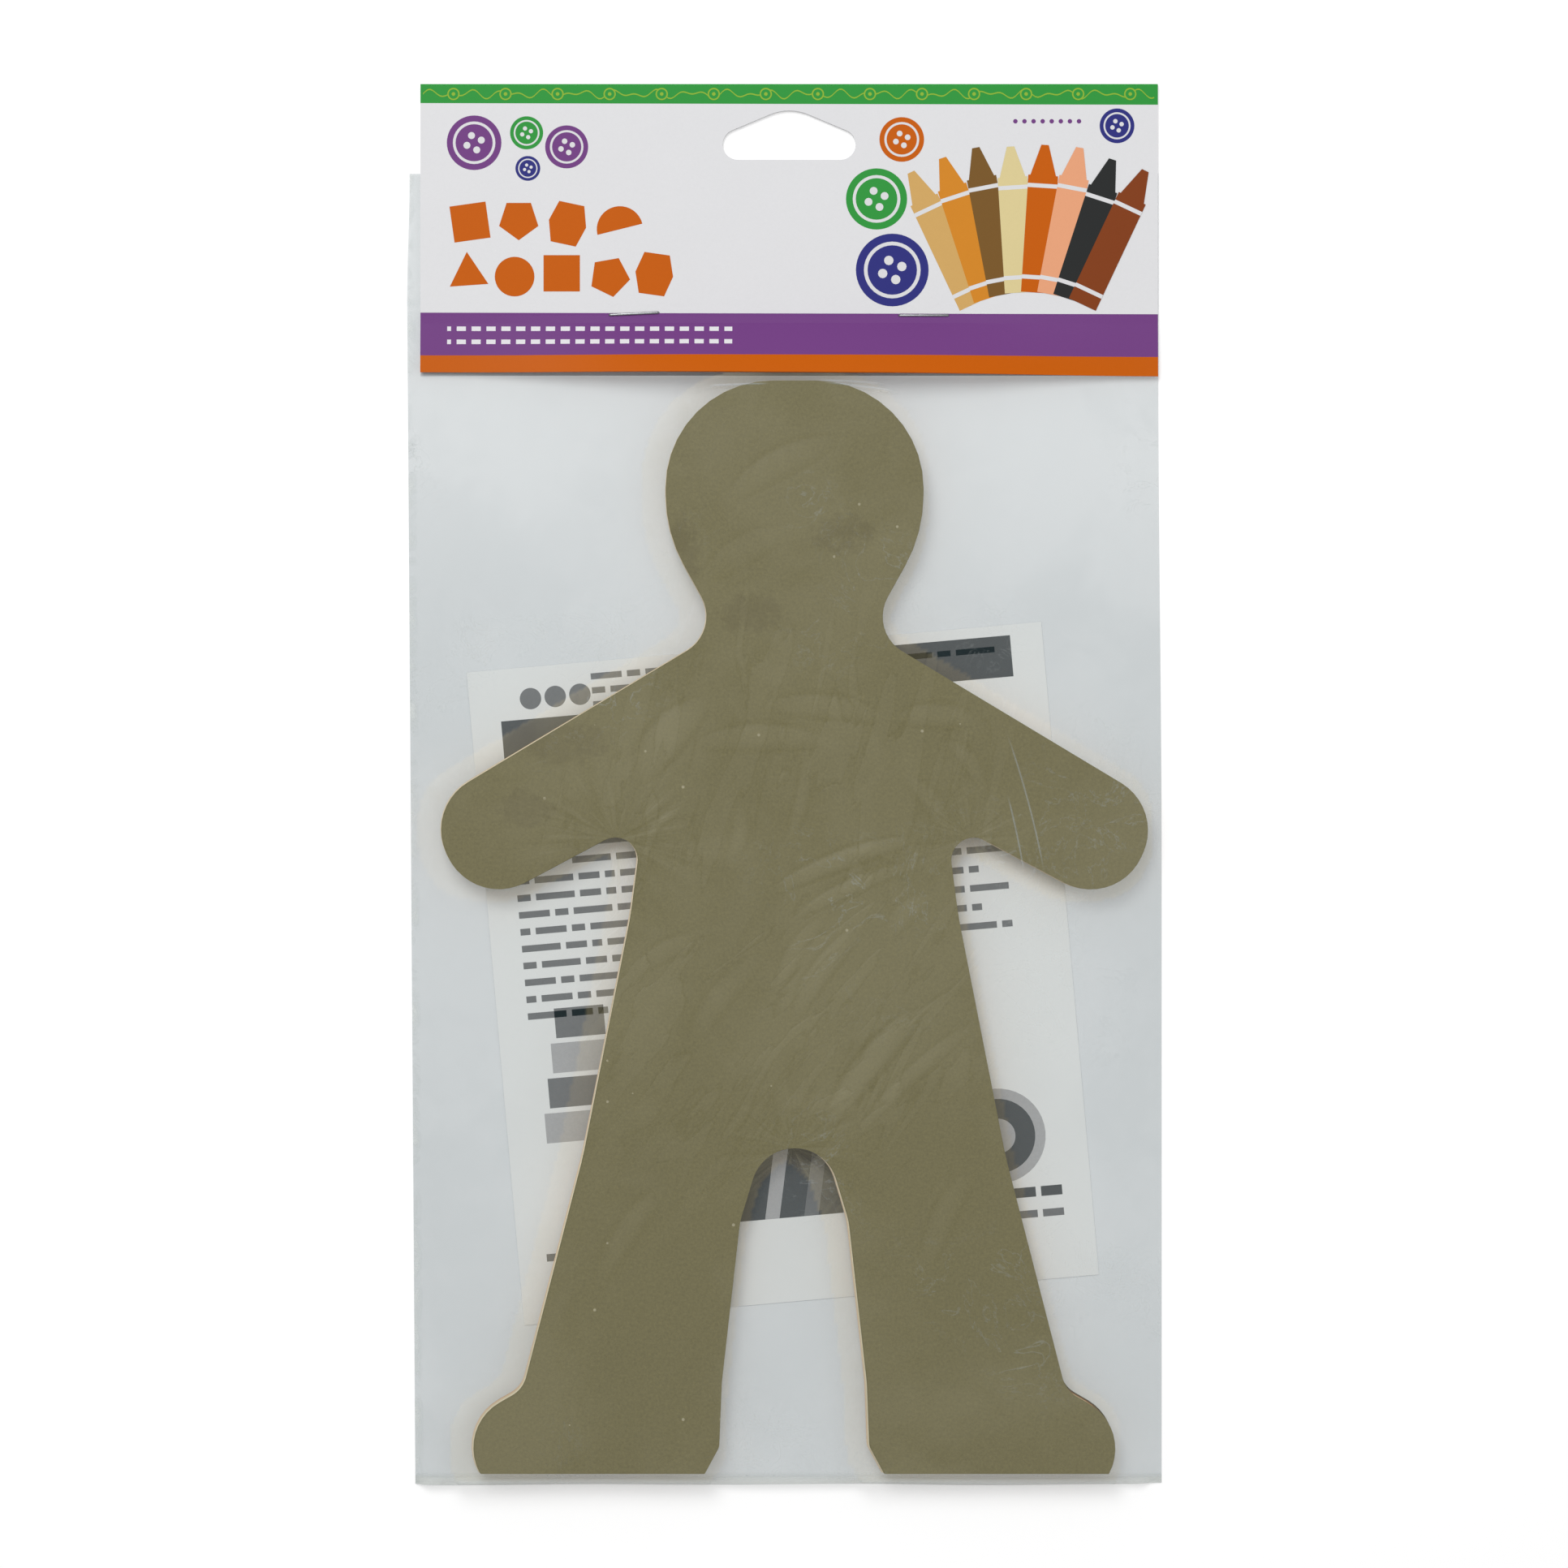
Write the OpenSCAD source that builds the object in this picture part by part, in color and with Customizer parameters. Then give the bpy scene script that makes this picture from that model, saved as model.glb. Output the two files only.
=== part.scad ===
// Carded pack of die-cut paper dolls: a stack of loose doll sheets and a leaflet in a clear bag,
// closed by a folded header card and two staples. The pack lies on its back, header towards +Y.

/* [Doll sheets] */
// Height of one doll, crown to soles
doll_h = 263; // [240:1:270]
// Width of one doll across the hands
doll_w = 170; // [150:1:176]
// Number of sheets in the stack
sheet_count = 40; // [8:1:50]
// Thickness of one sheet of paper
sheet_t = 0.15; // [0.1:0.01:0.25]
// Air between two loose sheets
sheet_air = 0.02; // [0.01:0.01:0.05]
// How far the middle sheets have slipped to the left of the top one
stack_lean = 0.5; // [0:0.1:1]
// How far the middle sheets have slipped towards the header
stack_rise = 0.25; // [0:0.05:0.5]
// How far the middle sheets have turned against the top one, in degrees
stack_twist = 0.13; // [0:0.01:0.3]

/* [Bag] */
// Thickness of the film
film_t = 0.06; // [0.04:0.01:0.1]
// Room between the left hand and the left edge of the bag
left_room = 9.1; // [7:0.1:20]
// Room between the right hand and the right edge of the bag
right_room = 3.9; // [3:0.1:20]
// Room between the soles and the bottom edge of the bag
sole_room = 3.5; // [3:0.1:20]
// Room between the crown and the staples
head_room = 16.4; // [14:0.1:30]
// Length of bag above the staples, inside the header
neck_l = 34.4; // [20:0.1:40]
// Width of the welded seam
weld_w = 1; // [0.6:0.1:1.5]
// How far the left edge runs in from top to bottom
left_taper = 2.2; // [0:0.1:3]
// How far the right edge runs out from top to bottom
right_taper = 0.8; // [0:0.1:1.5]
// How far out from the stack the film comes down to the table
drape_run = 28; // [15:1:40]
// How far out from the head and the neck the film comes down
head_run = 19; // [10:1:30]

/* [Header card] */
// Width of the header
header_w = 178.5; // [160:0.5:182]
// Height of the header's back panel
header_h = 70.6; // [68:0.1:72]
// How much shorter the front panel looks, seen from the front
front_short = 0.2; // [0:0.1:1]
// Thickness of the card
card_t = 0.4; // [0.3:0.05:0.5]
// How far the header sits to the right of the bag's middle
header_x = 1.25; // [-1:0.05:1.5]
// Width of the front panel's edge that the stack lifts fully
flap_flat_w = 40; // [36:1:80]
// How far the edge's two ends stand up from the bag
flap_end_lift = 0.6; // [0.2:0.1:2]

/* [Hang hole] */
// Width of the hang hole
hang_w = 32.2; // [28:0.1:34]
// Radius of the hole's two ends
hang_r = 3.7; // [3:0.1:4]
// Slope of the hole's upper sides, in degrees
hang_slope = 22.8; // [18:0.1:26]
// Radius of the hole's peak
hang_peak_r = 12; // [2:1:14]
// Distance from the fold to the hole's lower edge
hang_drop = 18.4; // [16:0.1:21]

/* [Staples] */
// Length of a staple's crown
crown_l = 12.8; // [10:0.1:14]
// Width of the wire, seen from the front
wire_w = 0.6; // [0.4:0.05:0.8]
// Thickness of the wire
wire_t = 0.45; // [0.3:0.05:0.5]
// Thickness of the legs where they are clinched into the card
clinch_t = 0.3; // [0.2:0.05:0.35]
// Length of one clinched leg
clinch_l = 5; // [3:0.1:6]
// Distance from the fold to the right staple
staple_drop = 56.1; // [50:0.1:60]
// Distance from the bag's middle to the left staple
staple_left_x = 36.3; // [20:0.1:60]
// Distance from the bag's middle to the right staple
staple_right_x = 33.8; // [20:0.1:60]
// How far the left staple sits above the right one
staple_left_up = 0.4; // [0:0.1:1]
// Tilt of the left staple, in degrees
staple_left_tilt = 2.7; // [-5:0.1:5]

/* [Leaflet] */
// Width of the leaflet
leaflet_w = 139.7; // [100:0.1:140]
// Height of the leaflet
leaflet_h = 158.7; // [100:0.1:165]
// Thickness of the leaflet's paper
leaflet_t = 0.12; // [0.08:0.01:0.15]
// Turn of the leaflet, in degrees
leaflet_turn = 5.05; // [0:0.05:6]
// How far the leaflet's middle sits to the left of the bag's middle
leaflet_left = 0.3; // [-3:0.1:3]
// Height of the leaflet's middle above the bottom edge of the bag
leaflet_rise = 123.6; // [95:0.1:140]

/* [Hidden] */
// Clearances between pieces
film_gap = 0.02;
slit = 0.04;
leaflet_gap = 0.04;
stack_gap = 0.3;
roof_gap = 0.1;
hole_gap = 0.05;
// Room that the stack has to move before it touches the film
slide_left = 4.4;
slide_right = 0.6;
slide_up = 1.9;
slide_down = 1.9;
// Overrun of cuts, and a sliver that gives hulls a thickness
over = 1;
sliver = 0.01;
// Smoothness: degrees of turn for one step of an arc, and round the foot of the draped film
arc_step = 9;
drape_step = 45;
flap_steps = 24;
// Irregular slip of single sheets
slip_x = 0.1;
slip_y = 0.08;
slip_turn_x = 137;
slip_turn_y = 211;

sheet_pitch = sheet_t + sheet_air;
bag_w = left_room + doll_w + right_room;
pack_l = sole_room + doll_h + head_room + staple_drop;
bag_bottom = -pack_l / 2;
sole_y = bag_bottom + sole_room;
crown_y = sole_y + doll_h;
staple_y = crown_y + head_room;
header_top = staple_y + staple_drop;
bag_top = staple_y + neck_l;
doll_x = -bag_w / 2 + left_room + doll_w / 2;

// Levels from the table up
back_neck_z = card_t + film_gap;
front_neck_z = back_neck_z + film_t + slit;
front_panel_z = front_neck_z + film_t + film_gap;
header_t = front_panel_z + card_t;
leaflet_z = film_t + leaflet_gap;
stack_z = max(leaflet_z + leaflet_t + stack_gap, back_neck_z + film_t + film_gap);
stack_top = stack_z + sheet_count * sheet_pitch - sheet_air;
roof_z = stack_top + roof_gap;
room_z = front_neck_z + film_gap / 2;

// Lines across the pack
back_edge_y = header_top - header_h;
flap_edge_y = back_edge_y + front_short;
ramp_start_y = back_edge_y - 2 * card_t;
ramp_end_y = back_edge_y - film_gap;
neck_y = staple_y - 2 * wire_w;
flap_bend_y = neck_y + film_gap * 10;
flap_root_y = flap_bend_y + card_t;

// Half of the doll's outline, crown to crotch: x as a share of half the width, y as a share of the
// height above the soles, and the radius of the corner as a share of the height
half_outline_shares = [
    [0.364, 1.000, 0.098],
    [0.364, 0.861, 0.134],
    [0.209, 0.771, 0.037],
    [1.043, 0.609, 0.0505],
    [0.912, 0.5155, 0.0505],
    [0.427, 0.599, 0.021],
    [0.463, 0.510, 0.220],
    [0.597, 0.290, 0.220],
    [0.767, 0.0765, 0.027],
    [0.958, 0.041, 0.0475],
    [0.889, 0, 0],
    [0.255, 0, 0],
    [0.214, 0.0245, 0.011],
    [0.207, 0.0825, 0.075],
    [0.155, 0.231, 0.060],
    [0.092, 0.298, 0.040]
];
// Three convex shapes that the film is stretched over, from the top down: the head, the neck with the
// shoulders, and the body with the arms and legs. Right halves, as shares like the outline's.
head_taut_shares = [[0.19, 1], [0.366, 0.943], [0.366, 0.8]];
shoulder_taut_shares = [[0.62, 0.868], [0.62, 0.7]];
body_taut_shares = [[0.266, 0.802], [1, 0.64], [1, 0.525], [0.918, 0]];

sheet_names = [for (k = [1:sheet_count]) str("doll_sheet_", k < 10 ? "0" : "", k)];

// Eight skin colours, the top one first
sheet_colours = [
    [0.47, 0.44, 0.33], [0.93, 0.89, 0.79], [0.85, 0.74, 0.58], [0.94, 0.78, 0.66],
    [0.87, 0.60, 0.27], [0.60, 0.36, 0.20], [0.42, 0.22, 0.15], [0.16, 0.14, 0.13]
];
film_colour = [0.80, 0.86, 0.88, 0.35];

function unit(v) = v / norm(v);
function flat(p) = [p[0], p[1]];

// Half the angle at corner b, between a and c, and how far its arc reaches along both sides
function half_angle(a, b, c) = acos(max(-1, min(1, unit(flat(a) - flat(b)) * unit(flat(c) - flat(b))))) / 2;
function reach(points, i) =
    let (n = len(points), b = points[i % n])
    b[2] / tan(half_angle(points[(i + n - 1) % n], b, points[(i + 1) % n]));

// The share of its radius that a corner keeps, so that its arc and its neighbours' arcs fit their sides
function kept_share(points, i) =
    let (n = len(points), before = (i + n - 1) % n, after = (i + 1) % n)
    min(
        1,
        norm(flat(points[i]) - flat(points[before])) / max(sliver, reach(points, i) + reach(points, before)),
        norm(flat(points[i]) - flat(points[after])) / max(sliver, reach(points, i) + reach(points, after))
    );

// The points that turn corner b, between a and c, into an arc of radius r
function corner(a, b, c, r) =
    let (
        u = unit(flat(a) - flat(b)),
        v = unit(flat(c) - flat(b)),
        half = half_angle(a, b, c),
        turn = 180 - 2 * half,
        centre = flat(b) + unit(u + v) * r / sin(half),
        start = flat(b) + u * r / tan(half) - centre,
        side = u[0] * v[1] - u[1] * v[0] < 0 ? 1 : -1,
        steps = ceil(turn / arc_step)
    )
    r == 0
    ? [flat(b)]
    : [for (i = [0:steps])
        let (t = side * turn * i / steps)
        centre + [start[0] * cos(t) - start[1] * sin(t), start[0] * sin(t) + start[1] * cos(t)]];

// A closed outline from corners [x, y, radius]
function rounded(points) =
    let (n = len(points))
    [for (i = [0:n - 1])
        each corner(
            points[(i + n - 1) % n],
            points[i],
            points[(i + 1) % n],
            points[i][2] * kept_share(points, i)
        )];

function mirrored(points) = [for (i = [len(points) - 1:-1:0]) [-points[i][0], points[i][1], points[i][2]]];

half_outline = [for (s = half_outline_shares) [s[0] * doll_w / 2, s[1] * doll_h, s[2] * doll_h]];

module doll_outline() {
    polygon(rounded(concat(half_outline, mirrored(half_outline))));
}

// One loose sheet, number 1 on top. The middle ones have slipped a little and turned.
module doll_sheet(k) {
    slip_share = sin(180 * (k - 1) / max(1, sheet_count - 1));
    color(sheet_colours[floor((k - 1) * len(sheet_colours) / sheet_count)])
    translate([
        doll_x - stack_lean * slip_share + slip_x * sin(slip_turn_x * (k - 1)) * min(1, k - 1),
        sole_y + doll_h / 2 + stack_rise * slip_share + slip_y * sin(slip_turn_y * (k - 1)),
        stack_z + (sheet_count - k) * sheet_pitch
    ])
    rotate(-stack_twist * slip_share)
    translate([0, -doll_h / 2, 0])
    linear_extrude(sheet_t)
    doll_outline();
}

// The bag's outline, moved in from its two side edges and its bottom edge
module bag_plan(inset, top) {
    polygon([
        [-bag_w / 2 + inset, top],
        [bag_w / 2 - right_taper - inset, top],
        [bag_w / 2 - inset, bag_bottom + inset],
        [-bag_w / 2 + left_taper + inset, bag_bottom + inset]
    ]);
}

// A sheet of film that lies on the table, climbs over the header's back panel and ends at the bag's top
module lay_flat(low_z, neck_z, thick) {
    intersection() {
        linear_extrude(header_t) bag_plan(0, bag_top);
        rotate([90, 0, 90])
        translate([0, 0, -bag_w])
        linear_extrude(2 * bag_w)
        polygon([
            [bag_bottom - over, low_z],
            [ramp_start_y, low_z],
            [ramp_end_y, neck_z],
            [bag_top + over, neck_z],
            [bag_top + over, neck_z + thick],
            [ramp_end_y, neck_z + thick],
            [ramp_start_y, low_z + thick],
            [bag_bottom - over, low_z + thick]
        ]);
    }
}

// A convex shape that the film is stretched over, with room for the stack to move, and moved out by run
module taut_plan(half_shares, grow, run) {
    hull()
    for (side = [-1, 1], x = [-slide_left - grow, slide_right + grow], y = [-slide_down - grow, slide_up + grow])
        for (turn = [0:drape_step:360 - drape_step])
            translate([doll_x + x + run * cos(turn), sole_y + y + run * sin(turn)])
            polygon([
                for (s = half_shares) [side * s[0] * doll_w / 2, s[1] * doll_h],
                [0, half_shares[0][1] * doll_h]
            ]);
}

// The film's rise over one of these shapes: flat on top, and falling to its foot on the low room
module ridge(half_shares, run, grow) {
    hull() {
        translate([0, 0, roof_z + grow - sliver])
        linear_extrude(sliver)
        taut_plan(half_shares, grow, 0);
        translate([0, 0, room_z + grow - sliver])
        linear_extrude(sliver)
        intersection() {
            taut_plan(half_shares, grow, run);
            bag_plan(weld_w - grow, neck_y + grow);
        }
    }
}

// The space inside the draped film: a low room for the leaflet, and the rises over the stack.
// A wall of film is left outside it when grow is the film's thickness.
module tent(grow) {
    translate([0, 0, -over - grow])
    linear_extrude(over + room_z + 2 * grow)
    bag_plan(weld_w - grow, neck_y + grow);
    ridge(head_taut_shares, head_run, grow);
    ridge(shoulder_taut_shares, head_run, grow);
    ridge(body_taut_shares, drape_run, grow);
}

// Square holes for the two staples
module staple_holes() {
    for (s = [-1, 1])
        staple_place(s)
        for (leg = [-1, 1])
            translate([leg * (crown_l - wire_w) / 2, 0, header_t / 2])
            cube([wire_w + hole_gap, wire_t + hole_gap, 2 * header_t], center = true);
}

module bag_front_film() {
    color(film_colour)
    difference() {
        union() {
            tent(film_t);
            lay_flat(0, front_neck_z - film_t, 2 * film_t);
        }
        tent(0);
        below_front_film();
        staple_holes();
    }
}

// Everything up to the lower face of the front film where it lies flat
module below_front_film() {
    rotate([90, 0, 90])
    translate([0, 0, -bag_w])
    linear_extrude(2 * bag_w)
    polygon([
        [bag_bottom - over, -3 * over],
        [bag_bottom - over, film_t],
        [ramp_start_y, film_t],
        [ramp_end_y, front_neck_z],
        [bag_top + over, front_neck_z],
        [bag_top + over, -3 * over]
    ]);
}

module bag_back_film() {
    color(film_colour)
    difference() {
        lay_flat(0, back_neck_z, film_t);
        staple_holes();
    }
}

// The hang hole: a low triangle with round ends, pointing up
module hang_hole() {
    corner_x = hang_w / 2 - hang_r + hang_r / tan(hang_slope / 2);
    translate([header_x, header_top - hang_drop])
    polygon(rounded([
        [-corner_x, 0, hang_r],
        [0, corner_x * tan(hang_slope), hang_peak_r],
        [corner_x, 0, hang_r]
    ]));
}

// The card from the side: back panel, round fold and front panel, without the flap that the stack lifts
module header_profile() {
    fold_r = header_t / 2;
    difference() {
        union() {
            translate([back_edge_y, 0]) square([header_top - fold_r - back_edge_y, card_t]);
            translate([flap_bend_y, front_panel_z])
            square([header_top - fold_r - flap_bend_y, card_t]);
            intersection() {
                translate([header_top - fold_r, fold_r]) circle(r = fold_r, $fn = 48);
                translate([header_top - fold_r, 0]) square([fold_r, header_t]);
            }
        }
        translate([header_top - fold_r, fold_r]) circle(r = fold_r - card_t, $fn = 48);
    }
}

// How far the flap's edge is lifted at x, from 1 over the head to 0 at the header's sides
function lift_share(x) =
    let (away = (abs(x - doll_x) - flap_flat_w / 2) / (header_w / 2 - flap_flat_w / 2))
    (1 + cos(180 * max(0, min(1, away)))) / 2;

// The flap: it starts inside the front panel, and its edge arches from the header's sides over the head
module flap() {
    low_z = front_panel_z + flap_end_lift;
    high_z = roof_z + film_t + film_gap;
    points = [
        for (i = [0:flap_steps])
            let (
                x = header_x - header_w / 2 + header_w * i / flap_steps,
                edge_z = low_z + (high_z - low_z) * lift_share(x)
            )
            each [
                [x, flap_root_y, front_panel_z + sliver],
                [x, flap_edge_y, edge_z],
                [x, flap_edge_y, edge_z + card_t],
                [x, flap_root_y, front_panel_z + card_t - sliver]
            ]
    ];
    sides = [
        for (i = [0:flap_steps - 1], k = [0:3])
            let (a = 4 * i + k, b = 4 * i + (k + 1) % 4)
            each [[a, b, b + 4], [a, b + 4, a + 4]]
    ];
    end = 4 * flap_steps;
    polyhedron(points, concat([[3, 2, 1, 0], [end, end + 1, end + 2, end + 3]], sides));
}

module header_card() {
    color([0.93, 0.93, 0.94])
    difference() {
        union() {
            translate([header_x - header_w / 2, 0, 0])
            rotate([90, 0, 90])
            linear_extrude(header_w)
            header_profile();
            flap();
        }
        translate([0, 0, -over]) linear_extrude(header_t + 2 * over) hang_hole();
        staple_holes();
        for (s = [-1, 1])
            staple_place(s)
            clinch_groove();
    }
}

// Where a staple stands: -1 for the left one, 1 for the right one
module staple_place(side) {
    translate([
        side < 0 ? -staple_left_x : staple_right_x,
        side < 0 ? staple_y + staple_left_up : staple_y,
        0
    ])
    rotate(side < 0 ? staple_left_tilt : 0)
    children();
}

// The dents that the clinched legs press into the back panel
module clinch_groove() {
    for (leg = [-1, 1])
        translate([leg * (crown_l - clinch_l) / 2, 0, (clinch_t - over) / 2 + hole_gap / 2])
        cube([clinch_l + hole_gap, wire_w + hole_gap, clinch_t + over + hole_gap], center = true);
}

// A wire staple: crown on the front, legs through the layers, ends clinched inwards behind
module staple(side) {
    color([0.72, 0.73, 0.75])
    staple_place(side) {
        translate([0, 0, header_t + wire_t / 2]) cube([crown_l, wire_w, wire_t], center = true);
        for (leg = [-1, 1]) {
            translate([leg * (crown_l - wire_w) / 2, 0, header_t / 2 + wire_t / 4])
            cube([wire_w, wire_t, header_t + wire_t / 2], center = true);
            translate([leg * (crown_l - clinch_l) / 2, 0, clinch_t / 2])
            cube([clinch_l, wire_w, clinch_t], center = true);
        }
    }
}

module leaflet() {
    color([0.90, 0.91, 0.91])
    translate([-leaflet_left, bag_bottom + leaflet_rise, leaflet_z])
    rotate(leaflet_turn)
    linear_extrude(leaflet_t)
    square([leaflet_w, leaflet_h], center = true);
}

header_card();
bag_front_film();
bag_back_film();
staple(-1);  // staple_left
staple(1);  // staple_right
leaflet();
for (k = [1:sheet_count])
    doll_sheet(k);
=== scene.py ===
# A shop pack of die-cut paper dolls: forty loose paper sheets and a leaflet in a clear bag, closed
# by a folded header card and two staples. It lies on its back and is seen from straight above.
import math

import bmesh
import bpy
import numpy as np
from mathutils import Matrix, Vector
from mathutils.bvhtree import BVHTree


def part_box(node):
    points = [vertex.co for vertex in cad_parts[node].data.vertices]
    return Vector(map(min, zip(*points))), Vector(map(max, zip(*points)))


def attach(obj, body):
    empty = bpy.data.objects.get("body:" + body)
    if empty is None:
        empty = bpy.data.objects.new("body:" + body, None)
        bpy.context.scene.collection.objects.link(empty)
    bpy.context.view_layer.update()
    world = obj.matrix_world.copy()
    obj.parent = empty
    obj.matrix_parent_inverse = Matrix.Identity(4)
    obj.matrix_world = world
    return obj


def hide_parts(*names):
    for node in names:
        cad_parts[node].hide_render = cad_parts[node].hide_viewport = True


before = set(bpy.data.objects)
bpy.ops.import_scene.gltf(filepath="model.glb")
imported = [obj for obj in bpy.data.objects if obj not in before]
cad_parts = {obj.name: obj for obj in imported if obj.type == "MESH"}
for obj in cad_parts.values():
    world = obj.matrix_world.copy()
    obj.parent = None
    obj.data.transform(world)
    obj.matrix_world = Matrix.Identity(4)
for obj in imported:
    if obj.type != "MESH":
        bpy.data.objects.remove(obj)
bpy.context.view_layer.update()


# Camera
# It looks straight down at the middle of the pack from a little over a metre up, as for a shop's
# picture.
camera = bpy.data.objects.new("camera", bpy.data.cameras.new("camera"))
camera.data.lens = 100.2
camera.data.sensor_width = 36
camera_height = 1.0573
camera.location = (0, 0, camera_height)
bpy.context.collection.objects.link(camera)
bpy.context.scene.camera = camera


# Doll sheets
# Forty loose sheets of uncoated coloured paper, all die-cut with the same plain doll. They lie in
# eight skin colours, five sheets of each, with the olive ones on top.
def colour(red, green, blue):
    """A colour given as it looks on a screen, 0 to 255, in the linear values that shaders take."""
    shares = [value / 255 for value in (red, green, blue)]
    return [s / 12.92 if s <= 0.04045 else ((s + 0.055) / 1.055) ** 2.4 for s in shares] + [1]


def feed(tree, socket, value):
    """Gives a socket its value: a number, a colour or another node's socket."""
    if isinstance(value, bpy.types.NodeSocket):
        tree.links.new(value, socket)
    else:
        socket.default_value = value


def add(tree, kind, settings=None, **inputs):
    """Adds one shader node, with its settings and the values of its inputs."""
    made = tree.nodes.new("ShaderNode" + kind)
    for name, value in (settings or {}).items():
        setattr(made, name, value)
    for name, value in inputs.items():
        feed(tree, made.inputs[name.replace("_", " ")], value)
    return made


def maths(tree, operation, *values):
    """Adds one Math node and gives its result."""
    made = add(tree, "Math", {"operation": operation})
    for socket, value in zip(made.inputs, values):
        feed(tree, socket, value)
    return made.outputs[0]


def blend_colours(tree, share, first, second):
    """Mixes two colours by a share from 0 to 1 and gives the result."""
    made = add(tree, "Mix", {"data_type": "RGBA"})
    for socket, value in ((made.inputs[0], share), (made.inputs[6], first), (made.inputs[7], second)):
        feed(tree, socket, value)
    return made.outputs[2]


def ramp(tree, value, low, high):
    """Turns values from low to high into 0 to 1, smoothly."""
    settings = {"interpolation_type": "SMOOTHSTEP"}
    return add(tree, "MapRange", settings, Value=value, From_Min=low, From_Max=high).outputs[0]


def fade(tree, value, low, high):
    """Turns values from low to high into 1 to 0, smoothly."""
    return maths(tree, "SUBTRACT", 1, ramp(tree, value, low, high))


def noise(tree, place, scale, detail, roughness=0.5, distortion=0):
    """A field of soft random values around 0.5, finer with a larger scale."""
    values = {"Scale": scale, "Detail": detail, "Roughness": roughness, "Distortion": distortion}
    return add(tree, "TexNoise", Vector=place, **values).outputs[0]


def seen_from(tree, place, middle=(0, 0), size=(1, 1), turn=0):
    """A place as seen from a patch's middle, turned with it in degrees, in shares of its half size."""
    patch = add(tree, "Mapping", {"vector_type": "TEXTURE"}, Vector=place)
    patch.inputs["Location"].default_value = (*middle, 0)
    patch.inputs["Rotation"].default_value = (0, 0, math.radians(turn))
    patch.inputs["Scale"].default_value = (*size, 1)
    return patch.outputs[0]


def length_of(tree, vector):
    """The length of a vector."""
    return add(tree, "VectorMath", {"operation": "LENGTH"}, Vector=vector).outputs["Value"]


def start_material(name, roughness):
    """A new material, its node tree, its Principled node and the object's own coordinates."""
    material = bpy.data.materials.new(name)
    material.use_nodes = True
    tree = material.node_tree
    principled = tree.nodes["Principled BSDF"]
    principled.inputs["Roughness"].default_value = roughness
    return material, tree, principled, add(tree, "TexCoord").outputs["Object"]


def paper_grain(tree, principled, place, tone, cloud=0.05, fibre=0.07, height=0.00003):
    """Uncoated paper: a slightly cloudy tone, short fibres and a rough surface."""
    clouds = noise(tree, place, 55, detail=4, roughness=0.6)
    fibres = noise(tree, place, 1500, detail=3, roughness=0.7, distortion=0.6)
    shade = maths(
        tree,
        "ADD",
        maths(tree, "MULTIPLY_ADD", clouds, 2 * cloud, 1 - cloud),
        maths(tree, "MULTIPLY_ADD", fibres, 2 * fibre, -fibre),
    )
    plain = tone[:3] if isinstance(tone, list) else tone
    shaded = add(tree, "VectorMath", {"operation": "SCALE"}, Vector=plain, Scale=shade).outputs[0]
    tree.links.new(shaded, principled.inputs["Base Color"])
    bump = add(tree, "Bump", Strength=0.5, Distance=height, Height=fibres)
    tree.links.new(bump.outputs[0], principled.inputs["Normal"])


OLIVE = colour(115, 109, 73)
PALE_SPECK = colour(206, 200, 176)
CLING_SHADE_OLIVE = colour(92, 84, 52)
paper_roughness = 0.85
# Painted shade where the film clings to the paper and darkens it: middle and half sizes of each patch
CLING_SHADE_PATCHES = [
    (-0.0530, 0.0100, 0.022, 0.011),
    (-0.0250, 0.0540, 0.010, 0.022),
    (-0.0080, 0.0410, 0.016, 0.010),
    (0.0140, 0.0600, 0.016, 0.010),
    (-0.0620, -0.0060, 0.014, 0.010),
]


def top_sheet_paper():
    """The olive paper of the top sheet, with pale specks and painted shade where the film clings to it."""
    speck_radius = 0.12
    share_without_speck = 0.97
    speck_strength = 0.5
    cling_shade_strength = 0.5
    material, tree, principled, place = start_material("olive_paper_top", paper_roughness)
    cells = add(tree, "TexVoronoi", Vector=place, Scale=330)
    in_middle = maths(tree, "LESS_THAN", cells.outputs["Distance"], speck_radius)
    cell_value = add(tree, "SeparateColor", Color=cells.outputs["Color"]).outputs[0]
    chosen = maths(tree, "GREATER_THAN", cell_value, share_without_speck)
    speck = maths(tree, "MULTIPLY", maths(tree, "MULTIPLY", in_middle, chosen), speck_strength)
    tone = blend_colours(tree, speck, OLIVE, PALE_SPECK)
    # Painted shade: the olive is darker in patches where the film clings to the paper
    spots = noise(tree, place, 420, detail=4, roughness=0.6, distortion=0.4)
    cling_shade = 0
    for x, y, half_width, half_height in CLING_SHADE_PATCHES:
        away = length_of(tree, seen_from(tree, place, (x, y), (half_width, half_height)))
        cling_shade = maths(tree, "MAXIMUM", cling_shade, fade(tree, away, 0.2, 1))
    cling_shade_mask = ramp(tree, maths(tree, "MULTIPLY", spots, cling_shade), 0.28, 0.5)
    tone = blend_colours(tree, maths(tree, "MULTIPLY", cling_shade_mask, cling_shade_strength), tone, CLING_SHADE_OLIVE)
    paper_grain(tree, principled, place, tone, cloud=0.06, fibre=0.42)
    return material


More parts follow.
